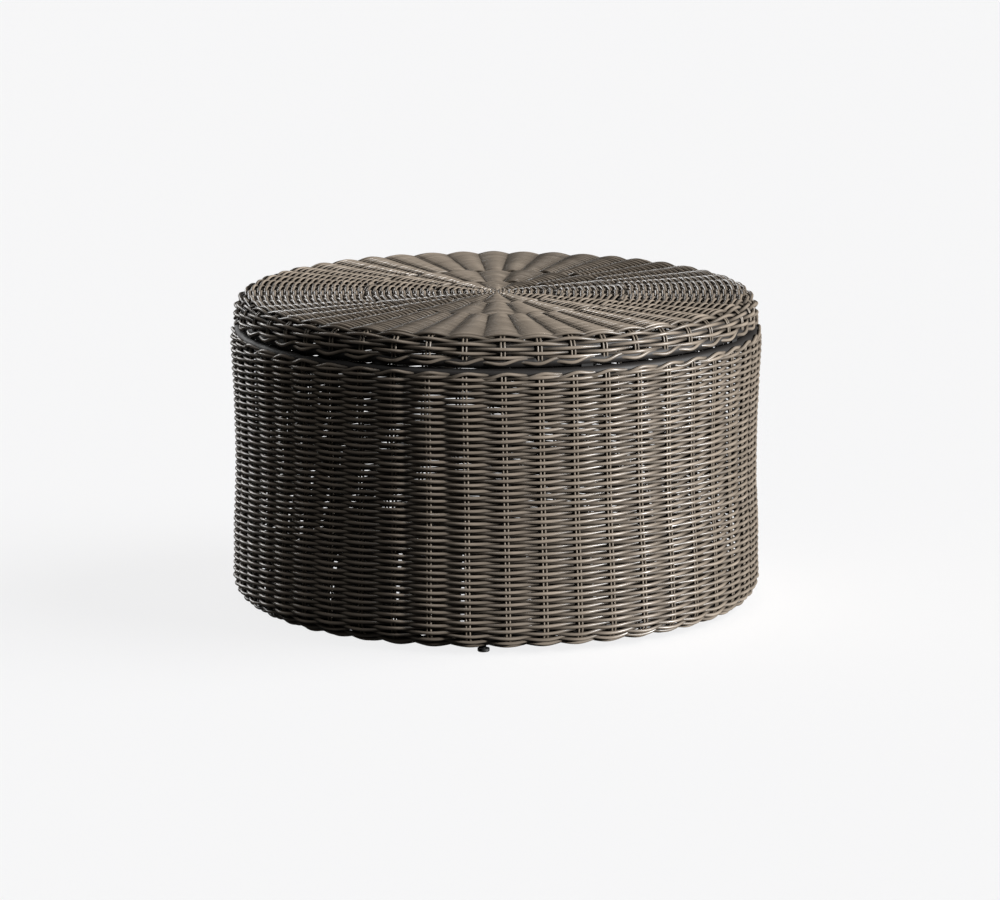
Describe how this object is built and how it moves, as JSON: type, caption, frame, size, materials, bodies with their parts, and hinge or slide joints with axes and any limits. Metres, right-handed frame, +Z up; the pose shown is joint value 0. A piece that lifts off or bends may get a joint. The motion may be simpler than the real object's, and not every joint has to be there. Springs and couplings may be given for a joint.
{
  "type": "round wicker storage coffee table",
  "caption": "Round drum-shaped outdoor coffee table woven in brown resin wicker over a metal frame, hollow for storage, with a woven lid that lifts off.",
  "frame": {"origin": "on the floor at the middle of the drum", "axes": "+Z up, -Y towards the front"},
  "size_m": [0.8203, 0.8202, 0.477],
  "materials": {
    "woven_resin": "satin, fine lengthwise grain",
    "stake_resin": "satin",
    "floor_board": "matt, brushed grain",
    "rubber": "matt",
    "black_plastic": "matt",
    "steel": "satin",
    "frame_paint": "fine textured powder coat"
  },
  "bodies": {
    "base": {"base_bottom_border": "woven_resin", "base_bottom_ring": "frame_paint", "base_foot_weave": "woven_resin", "base_glide_1": "black_plastic", "base_glide_2": "black_plastic", "base_glide_3": "black_plastic", "base_glide_4": "black_plastic", "base_stakes": "stake_resin", "base_top_border": "woven_resin", "base_top_ring": "frame_paint", "base_upright_1": "frame_paint", "base_upright_2": "frame_paint", "base_upright_3": "frame_paint", "base_upright_4": "frame_paint", "base_upright_5": "frame_paint", "base_upright_6": "frame_paint", "base_upright_7": "frame_paint", "base_upright_8": "frame_paint", "base_wall_weave": "woven_resin", "floor_crossbar_1": "frame_paint", "floor_crossbar_2": "frame_paint", "floor_crossbar_3": "frame_paint", "floor_screws": "steel", "floor_slat_1": "floor_board", "floor_slat_2": "floor_board", "floor_slat_3": "floor_board", "floor_slat_4": "floor_board", "floor_slat_5": "floor_board", "floor_slat_6": "floor_board", "floor_slat_7": "floor_board"},
    "lid": {"lid_bottom_border": "woven_resin", "lid_bumpers": "rubber", "lid_hub_plate": "frame_paint", "lid_hub_screws": "steel", "lid_locator_1": "black_plastic", "lid_locator_2": "black_plastic", "lid_locator_3": "black_plastic", "lid_locator_4": "black_plastic", "lid_locator_screws": "steel", "lid_lower_ring": "frame_paint", "lid_ring_web_1": "frame_paint", "lid_ring_web_2": "frame_paint", "lid_ring_web_3": "frame_paint", "lid_ring_web_4": "frame_paint", "lid_ring_web_5": "frame_paint", "lid_ring_web_6": "frame_paint", "lid_ring_web_7": "frame_paint", "lid_ring_web_8": "frame_paint", "lid_spoke_1": "frame_paint", "lid_spoke_2": "frame_paint", "lid_spoke_3": "frame_paint", "lid_spoke_4": "frame_paint", "lid_spoke_5": "frame_paint", "lid_spoke_6": "frame_paint", "lid_spoke_7": "frame_paint", "lid_spoke_8": "frame_paint", "lid_stakes": "stake_resin", "lid_upper_ring": "frame_paint", "lid_weave": "woven_resin"}
  },
  "joints": [
    {"name": "lid_lift", "type": "slide", "parent": "base", "child": "lid", "axis": [0, 0, 1], "range_m": [0, 0.35]}
  ]
}
